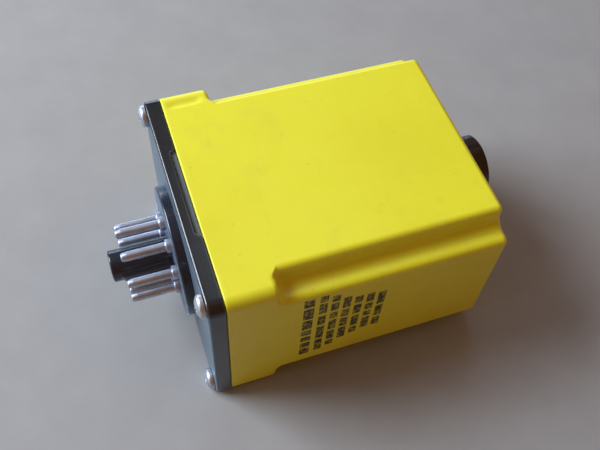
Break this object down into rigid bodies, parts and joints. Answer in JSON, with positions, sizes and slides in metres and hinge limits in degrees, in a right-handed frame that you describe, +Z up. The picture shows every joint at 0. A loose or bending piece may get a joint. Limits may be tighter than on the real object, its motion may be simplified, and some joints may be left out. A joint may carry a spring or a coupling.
{
  "type": "plug-in relay",
  "caption": "Octal plug-in time-delay relay: round pins and a keyed post on a black base plate, a stepped yellow case, and a time-setting knob on its end.",
  "frame": {"origin": "on the supporting surface, under the middle of the whole object's box", "axes": "the relay lies on one broad side: +X from the plug's key post to the knob, +Y across the case's wide side, +Z up through its narrow thickness"},
  "size_m": [0.1006, 0.0618, 0.0454],
  "materials": {
    "case_yellow": "satin moulded thermoplastic, opaque yellow",
    "base_black": "moulded black phenolic, semi-gloss",
    "plug_black": "moulded black phenolic, glossy",
    "knob_black": "moulded black knob, semi-gloss",
    "pin_nickel": "nickel-plated brass, bright",
    "screw_nickel": "nickel-plated steel, bright",
    "spring_steel": "oiled spring steel",
    "pot_steel": "tinned steel can",
    "relay_iron": "zinc-plated soft iron",
    "brass": "plain brass",
    "board": "glass-epoxy circuit board",
    "nylon": "natural nylon",
    "copper": "enamelled copper wire, wound",
    "capacitor_sleeve": "heat-shrunk sleeve over an aluminium can",
    "ceramic": "white cement-filled ceramic",
    "chip_black": "moulded epoxy",
    "resistor_tan": "painted film resistor",
    "lead_red": "insulated hook-up wire"
  },
  "bodies": {
    "housing": {"cover": "case_yellow", "base_plate": "base_black", "octal_header": "plug_black", "header_retaining_ring": "spring_steel", "pin_1": "pin_nickel", "pin_2": "pin_nickel", "pin_3": "pin_nickel", "pin_4": "pin_nickel", "pin_5": "pin_nickel", "pin_6": "pin_nickel", "pin_7": "pin_nickel", "pin_8": "pin_nickel", "cover_screw_1": "screw_nickel", "cover_screw_2": "screw_nickel", "cover_screw_3": "screw_nickel", "cover_screw_4": "screw_nickel", "pot_body": "pot_steel", "pot_bushing": "brass", "pot_washer": "screw_nickel", "pot_nut": "screw_nickel", "circuit_board": "board", "relay_yoke": "relay_iron", "relay_core": "relay_iron", "coil_bobbin": "nylon", "coil_winding": "copper", "contact_block": "nylon", "return_spring": "spring_steel", "relay_screw": "screw_nickel", "open_contact_1": "brass", "open_contact_2": "brass", "closed_contact_1": "brass", "closed_contact_2": "brass", "filter_capacitor": "capacitor_sleeve", "timing_capacitor": "capacitor_sleeve", "dropping_resistor": "ceramic", "timer_chip": "chip_black", "transistor": "chip_black", "rectifier_diode_1": "chip_black", "rectifier_diode_2": "chip_black", "rectifier_diode_3": "chip_black", "rectifier_diode_4": "chip_black", "resistor_1": "resistor_tan", "resistor_2": "resistor_tan", "pin_lead_1": "lead_red", "pin_lead_2": "lead_red", "pin_lead_3": "lead_red", "pin_lead_4": "lead_red", "pin_lead_5": "lead_red", "pin_lead_6": "lead_red", "pin_lead_7": "lead_red", "pin_lead_8": "lead_red"},
    "dial": {"knob": "knob_black", "knob_set_screw": "spring_steel", "pot_shaft": "brass", "pot_wiper": "brass"},
    "clapper": {"armature": "relay_iron", "contact_carrier": "nylon", "moving_contact_1": "brass", "moving_contact_2": "brass"}
  },
  "joints": [
    {"name": "knob_turn", "type": "hinge", "parent": "housing", "child": "dial", "pos_m": [0.045, 0.0027, 0.0227], "axis": [1, 0, 0], "range_deg": [-150, 150]},
    {"name": "armature_tilt", "type": "hinge", "parent": "housing", "child": "clapper", "pos_m": [-0.01605, 0, 0.03465], "axis": [0, 1, 0], "range_deg": [0, 3.9], "stiffness_Nm_per_rad": 0.01, "springref_deg": -11.46}
  ]
}
